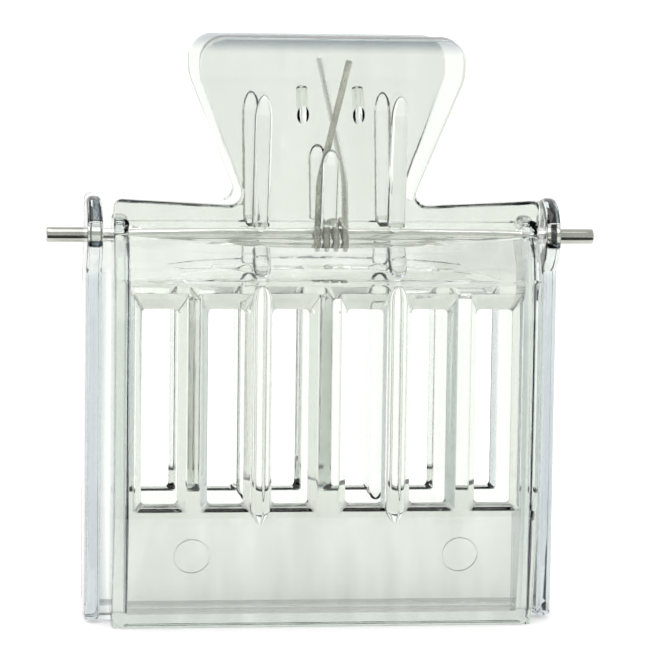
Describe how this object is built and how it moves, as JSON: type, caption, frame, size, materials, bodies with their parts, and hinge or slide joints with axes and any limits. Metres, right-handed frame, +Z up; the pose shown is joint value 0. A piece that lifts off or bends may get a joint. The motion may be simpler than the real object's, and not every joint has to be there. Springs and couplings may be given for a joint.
{
  "type": "queen cage",
  "caption": "Clear hinged queen bee clip: slotted shells turn on a steel rod, and a torsion spring keeps the mouth shut.",
  "frame": {"origin": "centre of the bounding box in X and Y, on the plane the mouth rests on", "axes": "+X along the hinge rod towards the right when the narrower shell faces the viewer, -Y towards the narrower (front) shell, +Z up from the mouth to the thumb tabs"},
  "size_m": [0.078, 0.0234, 0.0833],
  "materials": {
    "clear_plastic": "clear injection-moulded styrene-type plastic, polished",
    "pin_steel": "plain drawn steel rod",
    "spring_wire": "drawn spring wire, slightly dull"
  },
  "bodies": {
    "back_body": {"back_shell": "clear_plastic", "hinge_pin": "pin_steel", "torsion_spring": "spring_wire"},
    "front_body": {"front_shell": "clear_plastic"}
  },
  "joints": [
    {"name": "jaw_hinge", "type": "hinge", "parent": "back_body", "child": "front_body", "pos_m": [0, 0, 0.0549], "axis": [-1, 0, 0], "range_deg": [0, 32], "stiffness_Nm_per_rad": 0.05, "springref_deg": -34.38, "deforming": ["torsion_spring"]}
  ]
}
